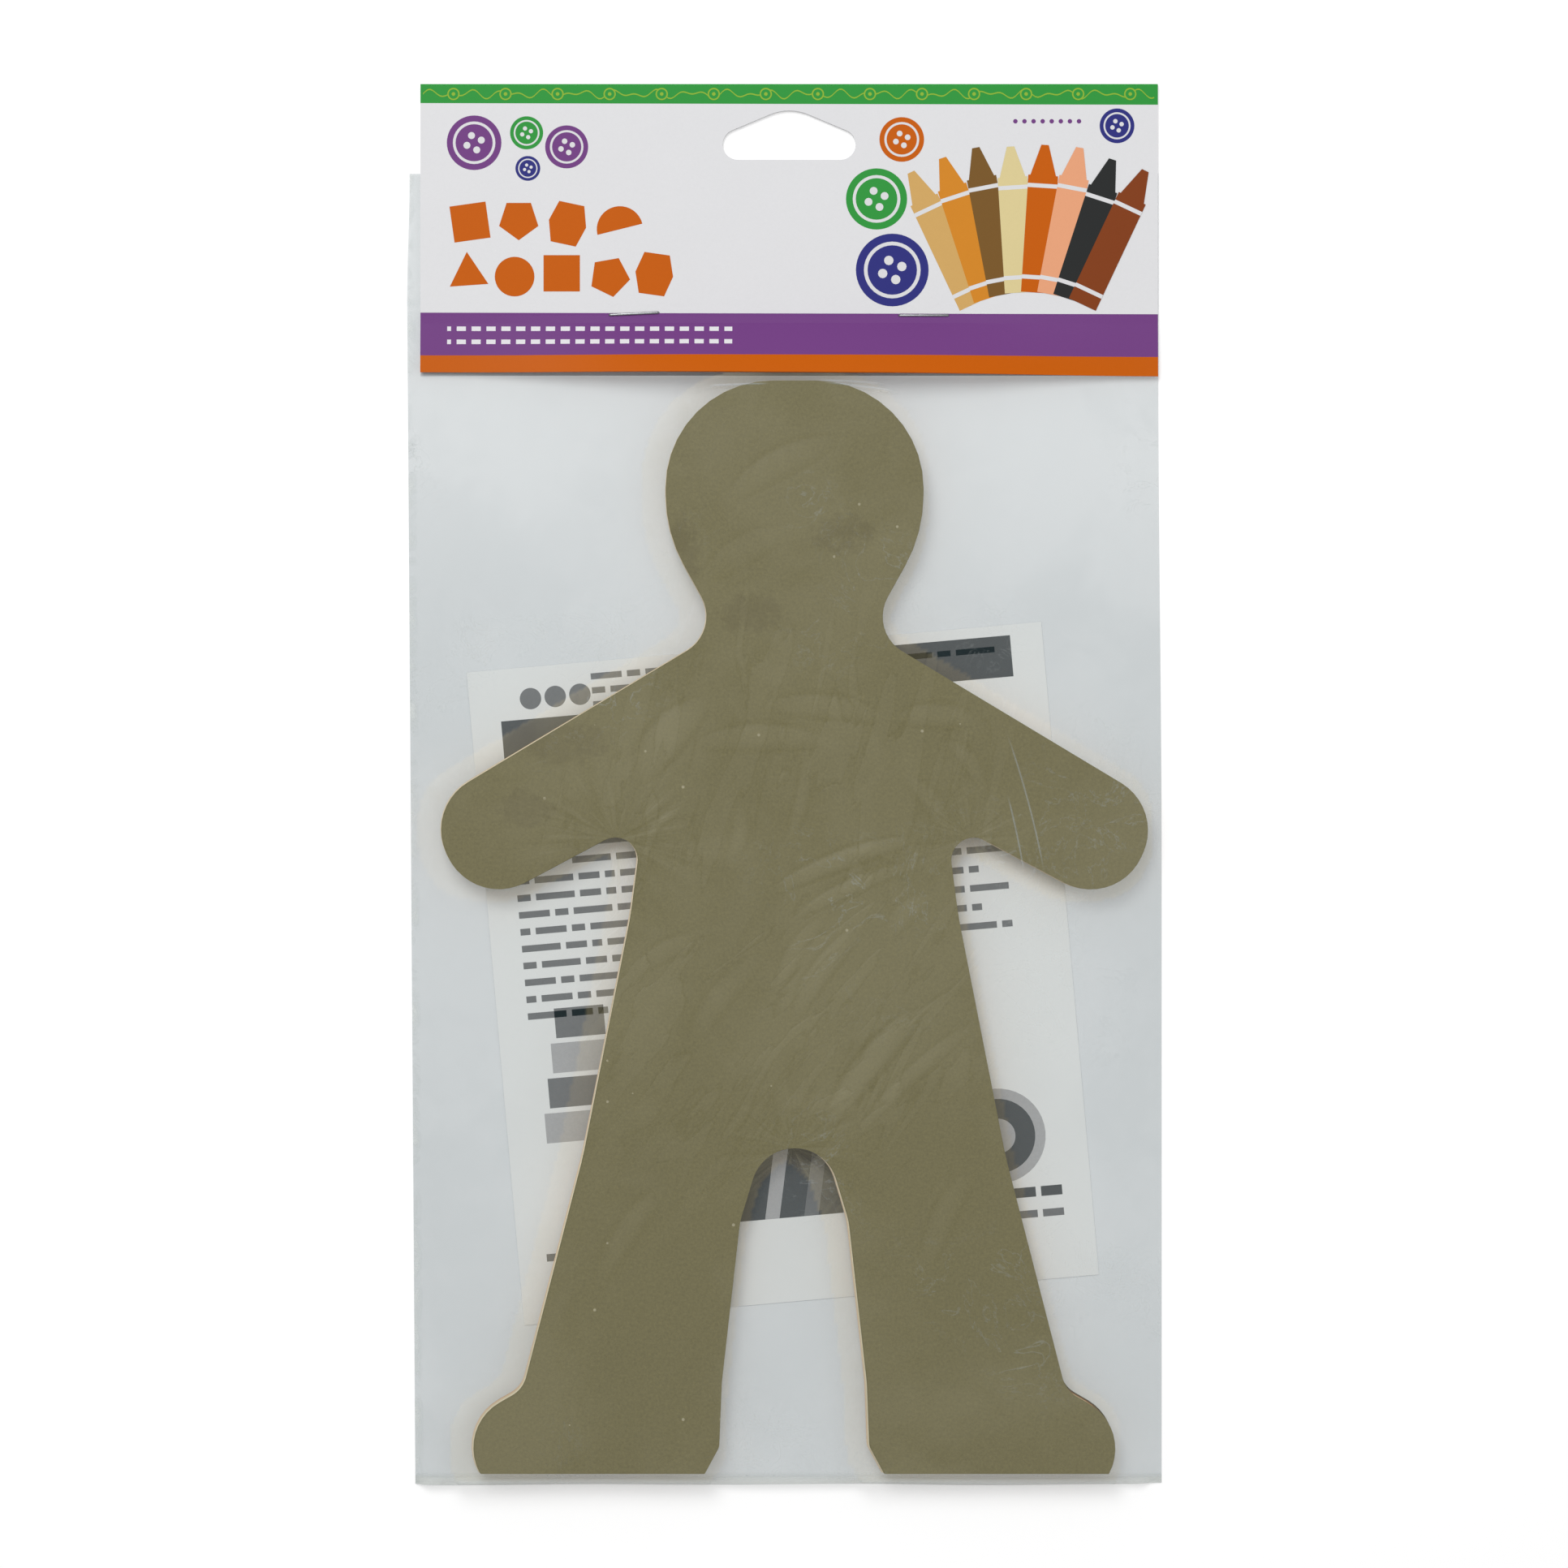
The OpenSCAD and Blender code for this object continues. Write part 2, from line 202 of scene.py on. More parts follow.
SHEET_TONES = [
    ("olive_paper", OLIVE),
    ("cream_paper", colour(247, 238, 214)),
    ("tan_paper", colour(232, 216, 188)),
    ("peach_paper", colour(240, 214, 192)),
    ("golden_paper", colour(220, 174, 112)),
    ("brown_paper", colour(160, 104, 62)),
    ("red_brown_paper", colour(118, 66, 46)),
    ("black_paper", colour(48, 44, 42)),
]
sheets_of_one_tone = 5
for group, (name, tone) in enumerate(SHEET_TONES):
    material, tree, principled, place = start_material(name, paper_roughness)
    paper_grain(tree, principled, place, tone)
    first = group * sheets_of_one_tone + 1
    for number in range(first, first + sheets_of_one_tone):
        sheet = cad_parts[f"doll_sheet_{number:02d}"]
        sheet.material_slots[0].material = top_sheet_paper() if number == 1 else material


# Leaflet
# One sheet of thin white office paper, lying loose and a little turned behind the stack. It is
# printed in three greys with plain bars, blocks, dots and a ring.
def flat_shape(bm, outline, level, material_index):
    """Adds one flat face, seen from above, from points (x, y) that go round anticlockwise."""
    face = bm.faces.new([bm.verts.new((x, y, level)) for x, y in outline])
    face.material_index = material_index
    return face


def block(left, low, right, high):
    """The corners of an upright block, anticlockwise."""
    return [(left, low), (right, low), (right, high), (left, high)]


def finish_mesh(bm, name, materials, body):
    """Makes a piece of a finished bmesh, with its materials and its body."""
    mesh = bpy.data.meshes.new(name)
    bm.to_mesh(mesh)
    bm.free()
    piece = bpy.data.objects.new(name, mesh)
    bpy.context.collection.objects.link(piece)
    for material in materials:
        mesh.materials.append(material)
    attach(piece, body)
    return piece


material, tree, principled, place = start_material("leaflet_paper", 0.8)
paper_grain(tree, principled, place, colour(250, 252, 250), cloud=0.015, fibre=0.02)
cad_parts["leaflet"].material_slots[0].material = material

leaflet_middle = Vector((-0.0003, -0.0459, 0))
leaflet_turn = math.radians(5.05)
print_level = 0.00024
ink_step = 0.00001
bar_gap = 1.3
BAR_LENGTHS = (7.5, 3.2, 9.4, 5.1, 2.4)
grey_inks = []
for name, tone in (("ink_dark_grey", 88), ("ink_grey", 128), ("ink_pale_grey", 190)):
    material, tree, principled, place = start_material(name, 0.75)
    paper_grain(tree, principled, place, colour(tone, tone, tone), cloud=0.06, fibre=0.12)
    grey_inks.append(material)

bm = bmesh.new()
DARK, GREY, PALE = range(3)


def leaflet_shape(outline, ink, above=0):
    """A printed flat shape on the leaflet, in millimetres from the leaflet's middle."""
    flat_shape(bm, [(x / 1000, y / 1000) for x, y in outline], print_level + above * ink_step, ink)


def leaflet_bar(x, y, width, height, ink):
    """A printed bar on the leaflet, by its left and lower edges."""
    leaflet_shape(block(x, y, x + width, y + height), ink)


def leaflet_disc(x, y, radius, segments, ink, above=0):
    """A printed disc on the leaflet."""
    middle = Matrix.Translation((x / 1000, y / 1000, print_level + above * ink_step))
    disc = bmesh.ops.create_circle(bm, cap_ends=True, segments=segments, radius=radius / 1000, matrix=middle)
    for face in {face for vert in disc["verts"] for face in vert.link_faces}:
        face.material_index = ink


def leaflet_line(x, y, length, height=1.7, ink=GREY):
    """A line of bars of changing length."""
    end = x + length
    turn = int(abs(x * 3 + y * 7)) % len(BAR_LENGTHS)
    while x < end - 2:
        bar = min(BAR_LENGTHS[turn % len(BAR_LENGTHS)], end - x)
        leaflet_bar(x, y, bar, height, ink)
        x += bar + bar_gap
        turn += 1


# The head: two dark boxes, lines of short bars and three dots
leaflet_bar(5, 66.8, 57, 10, DARK)
leaflet_line(10, 73, 48, 1.4, PALE)
leaflet_bar(-62.6, 56.8, 60, 10, DARK)
for row in range(3):
    leaflet_line(-40, 75 - 3.4 * row, 36, 1.5)
for x in (-55, -49, -43):
    leaflet_disc(x, 71.7, 2.6, 28, GREY)

# The two columns of lines, the left one with a short start, and three lines at the foot
for row in range(11):
    indent = 14 if row < 2 else 0
    leaflet_line(-62.4 + indent, 35.2 - 4.1 * row, 60 - indent, 1.6)
for row in range(5):
    leaflet_line(30, 24.9 - 4.6 * row, 26.5 - 4 * (row % 2), 1.6)
leaflet_line(-63, -64.5, 40, 1.8)
leaflet_line(30, -59.2, 35, 2.4, DARK)
leaflet_line(30, -64.2, 34, 1.8)

# Steps at the left, a striped block in the middle and a ring at the right
for step in range(4):
    leaflet_bar(-60.5 + 1.5 * step, -36 + 8.4 * step, 21 - 3 * step, 7.2, GREY if step % 2 else PALE)
block_low, block_high = -59, -31
leaflet_shape(block(-40, block_low, 18, block_high), DARK)
for step in range(6):
    left = -38 + 9.5 * step
    foot = [(left, block_low), (left + 3.5, block_low)]
    head = [(left + 9.5, block_high), (left + 6, block_high)]
    leaflet_shape(foot + head, PALE if step % 2 else GREY, 1)
for above, (radius, ink) in enumerate(((11.5, PALE), (9, DARK), (4.2, PALE))):
    leaflet_disc(48.5, -43.8, radius, 40, ink, above)
bmesh.ops.rotate(bm, verts=bm.verts, cent=(0, 0, 0), matrix=Matrix.Rotation(leaflet_turn, 3, "Z"))
bmesh.ops.translate(bm, verts=bm.verts, vec=leaflet_middle)
finish_mesh(bm, "leaflet_print", grey_inks, "leaflet")


# Bag
# Two webs of thin clear film, welded together along three sides and open at the top, inside the
# header. The front web is pulled tight over the stack and creased there, and it sags between the
# limbs. The back web lies flat, and the pull lifts their lower edge off the table.
bag_bottom = -0.1695
bag_top = 0.1478
bag_height = bag_top - bag_bottom
bag_width = 0.183
left_lean = 0.0022
film_step = 0.0008
# The header's back panel reaches down to here, and above the neck line the front web is held flat
back_panel_edge = 0.0989
neck_line = 0.1122


def smooth(value, low, high):
    """0 below low, 1 above high and a smooth rise between them."""
    share = np.clip((value - low) / (high - low), 0, 1)
    return share * share * (3 - 2 * share)


def bag_left(y):
    """The bag's left edge, which runs in towards the bottom and bows in above the header's edge."""
    return -0.0915 + left_lean * (bag_top - y) / bag_height + 0.0008 * smooth(y, 0.115, 0.148)


def bag_right(y):
    """The bag's right edge, which runs out towards the bottom."""
    return 0.0907 + 0.0008 * smooth(y, 0.1, -0.02)


def bag_lower(x):
    """The bag's lower edge, which is a little wavy."""
    return bag_bottom + 0.0002 * (1 + np.sin(x / 0.0105) * 0.6 + np.sin(x / 0.0287 + 1) * 0.4)


def bottom_lift(x, y):
    """How far the pull of the front web lifts the welded lower edge off the table, in a slight wave."""
    wave = 2.6 + 0.4 * np.sin(x / 0.021) + 0.2 * np.sin(x / 0.0083 + 2)
    near_edge = smooth(y - bag_lower(x), 0.0007, 0)
    between_corners = smooth(np.abs(x), 0.0896, 0.0860)
    return 0.001 * wave * near_edge * between_corners


def film_grid(columns, rows):
    """A flat grid with the bag's outline: its bmesh, the order of its points, and their x and y."""
    bm = bmesh.new()
    bmesh.ops.create_grid(bm, x_segments=columns, y_segments=rows, size=0.5)
    bm.verts.index_update()
    for face in bm.faces:
        face.smooth = True
    places = np.array([vert.co for vert in bm.verts])
    order = np.lexsort((places[:, 0], places[:, 1]))
    across = places[order, 0].reshape(rows + 1, columns + 1) + 0.5
    along = places[order, 1].reshape(rows + 1, columns + 1) + 0.5
    y = bag_bottom + along * bag_height
    x = bag_left(y) + across * (bag_right(y) - bag_left(y))
    y = y + (bag_lower(x) - bag_bottom) * (1 - along) ** 8
    return bm, order, x, y


def web_of_film(name, grid, level, **point_values):
    """Lifts a flat grid to its levels and makes a web of film of it, with values for its material."""
    bm, order, x, y = grid
    bm.verts.ensure_lookup_table()
    for index, place in zip(order, np.stack((x, y, level), axis=-1).reshape(-1, 3)):
        bm.verts[index].co = place
    web = finish_mesh(bm, name, [film], "pack")
    for value_name, values in point_values.items():
        of_points = np.empty(x.size)
        of_points[order] = values.ravel()
        web.data.attributes.new(value_name, "FLOAT", "POINT").data.foreach_set("value", of_points)
    return web


# Creases fan out from the armpits and the crotch: place, reach, and how many there are
CREASE_FANS = [
    (-0.0402, -0.0133, 0.030, 6),
    (0.0449, -0.0129, 0.018, 7),
    (0.0021, -0.0875, 0.022, 7),
]
# Soft folds in the film, in millimetres: both ends, half width, and how far each stands off
SOFT_FOLDS = [
    (9, -82, 32, -53, 2.6, 1.0),
    (16, -84, 46, -56, 1.5, 0.6),
    (1, -56, 18, -33, 2.0, 0.7),
    (-3, -49, 9, -31, 1.6, 0.5),
    (-4, -25, 31, -12, 1.8, 0.9),
    (2, -31, 32, -18, 1.5, 0.7),
    (-21, 11, 10, 11.5, 2.4, 0.6),
    (-4, 20, 25, 17, 2.2, 0.6),
    (27, 17, 47, 16, 2.2, 0.6),
    (-37, 1, -20, 21, 3.4, 0.7),
    (-9, -4, -12, -20, 1.6, 0.5),
    (7, 9, 2, -15, 1.3, 0.6),
    (30, 3, 41, -12, 1.7, 0.6),
    (40, 11, 49, 0, 1.6, 0.5),
    (-34, -13, -25, -5, 1.0, 0.7),
    (24, -36, 35, -26, 2.0, 0.5),
    (-36, -44, -20, -36, 1.8, 0.5),
    (-24, -62, -6, -40, 2.2, 0.4),
    (-46, -120, -30, -96, 2.2, 0.4),
    (32, -118, 44, -92, 2.2, 0.4),
    (-14, 70, 12, 84, 2.6, 0.4),
    (-20, 50, 0, 62, 2.6, 0.3),
]
# Sharp folds in the film: middle, turn in degrees, and length
SHARP_FOLDS = [
    (0.0588, -0.0045, -75, 0.036),
    (0.0560, -0.0120, -78, 0.020),
    (-0.0110, 0.0962, 2, 0.016),
    (0.0190, 0.0957, -7, 0.020),
    (0.0165, 0.0969, -3, 0.018),
]


def distance(tree, value, middle):
    """How far a value is from a middle one."""
    return maths(tree, "ABSOLUTE", maths(tree, "SUBTRACT", value, middle))


def crease_fan(tree, place, x, y, reach, count):
    """Creases that fan out from a point and fade at reach. Gives values around 0."""
    breaks_per_metre = 45
    across, along = add(tree, "SeparateXYZ", Vector=seen_from(tree, place, (x, y))).outputs[:2]
    turn = maths(tree, "ARCTAN2", across, along)
    away = length_of(tree, add(tree, "CombineXYZ", X=across, Y=along).outputs[0])
    round_it = maths(tree, "MULTIPLY", turn, count)
    outwards = maths(tree, "MULTIPLY", away, breaks_per_metre)
    rays = add(tree, "CombineXYZ", X=round_it, Y=outwards)
    lines = noise(tree, rays.outputs[0], 1, detail=3, roughness=0.6)
    return maths(tree, "MULTIPLY", maths(tree, "SUBTRACT", lines, 0.5), fade(tree, away, reach * 0.1, reach))


def slanted_streaks(tree, place, turn):
    """A field of long soft streaks, five times as long as wide, that lean by turn degrees."""
    slanted = seen_from(tree, place, size=(5, 1), turn=turn)
    return noise(tree, slanted, 130, detail=3, distortion=0.9)


def stand_off(tree, place, up, folded):
    """How far the film stands off the paper: in its folds, in long blisters with a tight rim, and in fans."""
    blister_height, rim_depth, fan_height = 0.36, 0.5, 4.5
    flat_streaks = slanted_streaks(tree, place, 50)
    steep_streaks = slanted_streaks(tree, place, 77)
    chest = ramp(tree, up, -0.034, -0.012)
    steeper = maths(tree, "MULTIPLY", chest, maths(tree, "SUBTRACT", steep_streaks, flat_streaks))
    streaks = maths(tree, "ADD", flat_streaks, steeper)
    blisters = ramp(tree, streaks, 0.55, 0.58)
    rims = fade(tree, distance(tree, streaks, 0.54), 0, 0.016)
    pattern = maths(tree, "MULTIPLY_ADD", blisters, blister_height, maths(tree, "MULTIPLY", rims, -rim_depth))
    from_torso = length_of(tree, seen_from(tree, place, (0.003, -0.030), (0.085, 0.095)))
    share = maths(tree, "MULTIPLY_ADD", ramp(tree, from_torso, 0.5, 1), -0.8, 1)
    stands = maths(tree, "MULTIPLY_ADD", pattern, share, folded)
    for x, y, reach, count in CREASE_FANS:
        stands = maths(tree, "MULTIPLY_ADD", crease_fan(tree, place, x, y, reach, count), fan_height, stands)
    return stands


def sharp_folds(tree, place):
    """Thin sharp folds: short ones all over, and the long ones where the film was bent."""
    short_strength, bow = 0.6, 2.2
    half_line, line_end = 0.00008, 0.00032
    wrinkles = noise(tree, place, 62, detail=4, roughness=0.6, distortion=1.8)
    line = fade(tree, distance(tree, wrinkles, 0.5), 0, 0.012)
    chosen = ramp(tree, noise(tree, place, 21, detail=1), 0.52, 0.66)
    sharp = maths(tree, "MULTIPLY", maths(tree, "MULTIPLY", line, chosen), short_strength)
    for x, y, turn, length in SHARP_FOLDS:
        along, aside = add(tree, "SeparateXYZ", Vector=seen_from(tree, place, (x, y), turn=turn)).outputs[:2]
        bowed = maths(tree, "MULTIPLY_ADD", maths(tree, "MULTIPLY", along, along), bow, aside)
        thin = fade(tree, maths(tree, "ABSOLUTE", bowed), half_line, line_end)
        short = fade(tree, maths(tree, "ABSOLUTE", along), length * 0.3, length * 0.5)
        sharp = maths(tree, "MAXIMUM", sharp, maths(tree, "MULTIPLY", thin, short))
    return sharp


def point_value(tree, name):
    """A value that the piece stores for each of its points."""
    return add(tree, "Attribute", {"attribute_name": name}).outputs["Fac"]


def film_material():
    """Clear film: nearly see-through where it clings to the paper, and milkier where it stands off it, partly
    haze and partly a painted reflection.
    """
    material, tree, principled, place = start_material("clear_film", 0.3)
    principled.inputs["Specular IOR Level"].default_value = 0.35
    held, folded, behind = (point_value(tree, name) for name in ("held", "folded", "behind"))
    across, up = add(tree, "SeparateXYZ", Vector=place).outputs[:2]
    broad = noise(tree, place, 17, detail=3, roughness=0.55, distortion=0.6)
    mottled = noise(tree, place, 75, detail=4, roughness=0.6, distortion=1.2)
    clouded = maths(tree, "MULTIPLY_ADD", maths(tree, "SUBTRACT", mottled, 0.5), 0.35, broad)
    haze = ramp(tree, clouded, 0.38, 0.62)
    stands = stand_off(tree, place, up, folded)
    sharp = sharp_folds(tree, place)
    weld_width, weld_end = 0.0012, 0.0030
    low_weld = fade(tree, up, bag_bottom + weld_width, bag_bottom + weld_end)
    inwards = maths(tree, "MULTIPLY_ADD", up, left_lean / bag_height, across)
    side_weld = maths(tree, "MULTIPLY", ramp(tree, inwards, -0.0880, -0.0900), ramp(tree, mottled, 0.4, 0.65))

    # How much of the film is seen: over the paper, and off it, where the back web is the milkiest.
    # Off the paper the milkiness is painted shade: with the dark tone it darkens the table under the bag,
    # more below the header's edge and most in the back web
    # Over the paper the film is milkier where it stands off and clearer at its tight rims: partly haze,
    # partly a painted reflection
    over = maths(tree, "MULTIPLY_ADD", haze, 0.08, maths(tree, "MULTIPLY_ADD", stands, 0.105, 0.12))
    haze_and_shade = maths(tree, "MULTIPLY_ADD", ramp(tree, up, 0.09, 0.02), 0.035, 0.085)
    haze_and_shade = maths(tree, "MULTIPLY_ADD", behind, 0.10, haze_and_shade)
    off = maths(tree, "MULTIPLY_ADD", haze, 0.015, maths(tree, "MULTIPLY_ADD", stands, 0.02, haze_and_shade))
    seen = maths(tree, "MULTIPLY_ADD", held, maths(tree, "SUBTRACT", over, off), off)
    # The sharp folds are milkier, partly from the film's whitening and partly as a painted highlight
    for mark, strength in ((sharp, 0.13), (low_weld, 0.22), (side_weld, 0.15)):
        seen = maths(tree, "MULTIPLY_ADD", mark, strength, seen)
    least_seen = 0.01
    tree.links.new(maths(tree, "MAXIMUM", seen, least_seen), principled.inputs["Alpha"])

    # A dark bluish tone off the paper, which is painted shade, a warm one over it, and a pale one in welds
    # and sharp folds
    tone = blend_colours(tree, held, colour(112, 138, 144), colour(196, 190, 156))
    tone = blend_colours(tree, low_weld, tone, colour(208, 214, 210))
    # The pale tone in the sharp folds is partly the film's whitening and partly a painted highlight
    tone = blend_colours(tree, maths(tree, "MAXIMUM", sharp, side_weld), tone, colour(214, 222, 220))
    tree.links.new(tone, principled.inputs["Base Color"])
    relief = maths(tree, "MULTIPLY", stands, maths(tree, "MULTIPLY_ADD", held, 0.8, 0.2))
    shape = maths(tree, "MULTIPLY_ADD", broad, 0.6, maths(tree, "MULTIPLY_ADD", sharp, 0.8, relief))
    bump = add(tree, "Bump", Strength=0.26, Distance=0.0009, Height=shape)
    tree.links.new(bump.outputs[0], principled.inputs["Normal"])
    return material


film = film_material()
columns = round(bag_width / film_step)
rows = round(bag_height / film_step)

# The back web, which passes on top of the header's back panel
grid = film_grid(columns // 4, rows)
x, y = grid[2:]
table_clearance = 0.00003
rise_over_panel = 0.00042
onto_panel = smooth(y, back_panel_edge - 0.0012, back_panel_edge)
level = table_clearance + rise_over_panel * onto_panel + bottom_lift(x, y)
nowhere, everywhere = np.zeros(x.size), np.ones(x.size)
bag_back = web_of_film("bag_back", grid, level, folded=nowhere, held=nowhere, behind=everywhere)
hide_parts("bag_back_film")

# The front web
grid = film_grid(columns, rows)
x, y = grid[2:]
stack_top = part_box("doll_sheet_01")[1][2]
clearance = 0.00006
weld_level = 0.00009
neck_level = 0.00055
web_gap = 0.0004
outline = BVHTree.FromObject(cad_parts["doll_sheet_01"], bpy.context.evaluated_depsgraph_get())
# How far the stack slips in the bag, with a little to spare
SLIPS_ACROSS = (-0.0050, -0.0036, -0.0024, -0.0012, 0, 0.0006)
SLIPS_ALONG = (-0.0020, -0.0010, 0, 0.0010, 0.0020)
slips = [(across, along) for across in SLIPS_ACROSS for along in SLIPS_ALONG]


def over_stack(x, y):
    """Whether the stack can come under this point as it slips in the bag."""
    above = [(x - across, y - along, 1) for across, along in slips]
    return any(outline.ray_cast(start, (0, 0, -1))[0] is not None for start in above)


def pull_tight(height, fixed):
    """Settles every free point between its four neighbours, a little below their mean."""
    sag = 11.0 * film_step**2
    overshoot = 1.95
    turns = 900
    odd = (np.add.outer(np.arange(height.shape[0]), np.arange(height.shape[1])) % 2).astype(bool)
    mean = np.zeros_like(height)
    for turn in range(turns):
        for half in (odd, ~odd):
            around = height[2:, 1:-1] + height[:-2, 1:-1] + height[1:-1, 2:] + height[1:-1, :-2]
            mean[1:-1, 1:-1] = around / 4 - sag / 4
            free = half & ~fixed
            height[free] += overshoot * (mean[free] - height[free])


def soft_fold(x, y, start_x, start_y, end_x, end_y, half_width, rise):
    """A soft fold that bows a little and tapers to both ends, between two shallow furrows."""
    bow = 1.5
    furrow_place, furrow_width, furrow_depth = 1.45, 0.3, 0.8
    length = math.hypot(end_x - start_x, end_y - start_y)
    from_x, from_y = 1000 * x - (start_x + end_x) / 2, 1000 * y - (start_y + end_y) / 2
    along = (from_x * (end_x - start_x) + from_y * (end_y - start_y)) / length / (length / 2)
    aside = (from_y * (end_x - start_x) - from_x * (end_y - start_y)) / length + bow * along**2
    taper = np.clip(1 - along**2, 0.001, 1)
    aside = np.abs(aside) / (half_width * np.sqrt(taper))
    furrows = np.exp(-(((aside - furrow_place) / furrow_width) ** 2))
    return rise * taper * np.exp(-(aside**3)) - furrow_depth * rise * np.sqrt(taper) * furrows


held_up = np.array([[over_stack(*point) for point in zip(*line)] for line in zip(x, y)])
for side in (0, 1):
    held_up = held_up | np.roll(held_up, 1, side) | np.roll(held_up, -1, side)
neck = y >= neck_line
height = np.full(x.shape, weld_level)
height[held_up] = stack_top + clearance
height[neck] = neck_level
height[0] = weld_level + bottom_lift(x[0], y[0])
fixed = held_up | neck
fixed[:1] = fixed[:, :1] = fixed[:, -1:] = True
pull_tight(height, fixed)
off_side = np.minimum(np.abs(x - bag_left(y)), np.abs(bag_right(y) - x))
off_rim = np.minimum(off_side, np.abs(y - bag_lower(x)))
least_level = weld_level + web_gap * smooth(off_rim, 0.0012, 0.005) + bottom_lift(x, y)
folded = sum(soft_fold(x, y, *fold) for fold in SOFT_FOLDS)
fold_height = 0.00012
level = np.maximum(height, least_level) + fold_height * np.clip(folded, 0, None) * held_up
bag_front = web_of_film("bag_front", grid, level, folded=folded, held=held_up, behind=np.zeros(x.size))
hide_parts("bag_front_film")


# Header card
# One strip of white coated card, folded over the top of the bag, with a hang hole punched through
# both panels. Its free front edge is lifted by the stack. It is printed with a green, a purple and
# an orange band.
card_thickness = 0.0004
fold_y, fold_z = 0.1690, 0.0005
fold_radius = 0.0003
back_level = fold_z - fold_radius
front_level = fold_z + fold_radius
flap_edge_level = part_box("header_card")[1][2] - card_thickness / 2
flap_edge = 0.0991
crease_line = 0.1124
bend_start = crease_line + 0.001
header_left, header_right = -0.0880, 0.0905
doll_middle = 0.0026
card_roughness = 0.42
ink_shine = 0.1


def header_route():
    """The middle of the card from the back panel's edge round the fold to the front edge, as (y, z)."""
    back_steps, fold_steps, front_steps, flap_steps = 24, 10, 20, 14
    back_length = fold_y - back_panel_edge
    route = [(back_panel_edge + back_length * i / back_steps, back_level) for i in range(back_steps)]
    for i in range(fold_steps + 1):
        turn = math.pi * i / fold_steps
        route.append((fold_y + fold_radius * math.sin(turn), fold_z - fold_radius * math.cos(turn)))
    front_length = fold_y - bend_start
    for i in range(1, front_steps + 1):
        route.append((fold_y - front_length * i / front_steps, front_level))
    for i in range(1, flap_steps + 1):
        share = i / flap_steps
        rise = (flap_edge_level - front_level) * (share + 0.05 * math.sin(math.pi * share))
        route.append((crease_line + (flap_edge - crease_line) * share, front_level + rise))
    return route


GREEN_INK = colour(52, 158, 66)
PURPLE_INK = colour(121, 68, 137)
ORANGE_INK = colour(208, 98, 0)
# Printed bands of the front: lower edge, upper edge and ink
PRINTED_BANDS = [
    (0.1646, 0.2, GREEN_INK),
    (0.1035, 0.1139, PURPLE_INK),
    (0.09, 0.1035, ORANGE_INK),
]


def coated_card():
    """White coated card with its printed bands and two rows of white stitches on the purple one."""
    between_panels = 0.00045
    band_slope = 0.0022
    stitch_pitch, stitch_share = 0.0036, 0.62
    stitch_middle, stitch_reach = -0.047, 0.0345
    row_half_height = 0.00055
    material, tree, principled, place = start_material("printed_card", card_roughness)
    across, along, up = add(tree, "SeparateXYZ", Vector=place).outputs
    level = maths(tree, "ADD", along, maths(tree, "MULTIPLY", across, band_slope))
    front = maths(tree, "GREATER_THAN", up, between_panels)
    tone = colour(236, 236, 238)
    for low, high, ink in PRINTED_BANDS:
        above_low = maths(tree, "GREATER_THAN", level, low)
        band = maths(tree, "MULTIPLY", above_low, maths(tree, "LESS_THAN", level, high))
        tone = blend_colours(tree, maths(tree, "MULTIPLY", band, front), tone, ink)
    in_pitch = maths(tree, "FRACT", maths(tree, "DIVIDE", across, stitch_pitch))
    dash = maths(tree, "LESS_THAN", in_pitch, stitch_share)
    reach = maths(tree, "LESS_THAN", distance(tree, across, stitch_middle), stitch_reach)
    for middle in (0.1100, 0.1068):
        row = maths(tree, "LESS_THAN", distance(tree, level, middle), row_half_height)
        stitch = maths(tree, "MULTIPLY", maths(tree, "MULTIPLY", row, reach), dash)
        tone = blend_colours(tree, maths(tree, "MULTIPLY", stitch, front), tone, colour(238, 236, 240))
    paper_grain(tree, principled, place, tone, cloud=0.012, fibre=0.03, height=0.000012)
    principled.inputs["Specular IOR Level"].default_value = ink_shine
    return material


def apply_modifiers(piece):
    """Replaces a piece's mesh by what its modifiers make of it."""
    finished = piece.evaluated_get(bpy.context.evaluated_depsgraph_get())
    mesh = bpy.data.meshes.new_from_object(finished)
    piece.modifiers.clear()
    piece.data = mesh


def arc(x, y, radius, start, end, steps):
    """Points of an arc, in millimetres and degrees."""
    turns = [math.radians(start + (end - start) * i / steps) for i in range(steps + 1)]
    return [(x + radius * math.cos(turn), y + radius * math.sin(turn)) for turn in turns]


# The strip. The stack lifts the flap most over the doll's head and least at both ends
arch_top, arch_slope = 0.021, 0.066
least_lift = 0.12
edge_tilt = 0.001
route = header_route()
bm = bmesh.new()
bmesh.ops.create_grid(bm, x_segments=60, y_segments=len(route) - 1, size=0.5)
for vert in bm.verts:
    across = vert.co.x + 0.5
    x = header_left + across * (header_right - header_left)
    y, z = route[round((vert.co.y + 0.5) * (len(route) - 1))]
    if z > front_level + 1e-6 and y < crease_line:
        lifted = (crease_line - y) / (crease_line - flap_edge)
        away = min(1, max(0, (abs(x - doll_middle) - arch_top) / arch_slope))
        arch = 0.5 + 0.5 * math.cos(math.pi * away)
        z = front_level + (z - front_level) * (arch + (1 - arch) * least_lift)
        y += lifted * edge_tilt * (0.5 - across)
    vert.co = (x, y, z)
bmesh.ops.recalc_face_normals(bm, faces=bm.faces)
header = finish_mesh(bm, "header", [coated_card()], "pack")
thick = header.modifiers.new("thickness", "SOLIDIFY")
thick.thickness = card_thickness
thick.offset = 0
apply_modifiers(header)

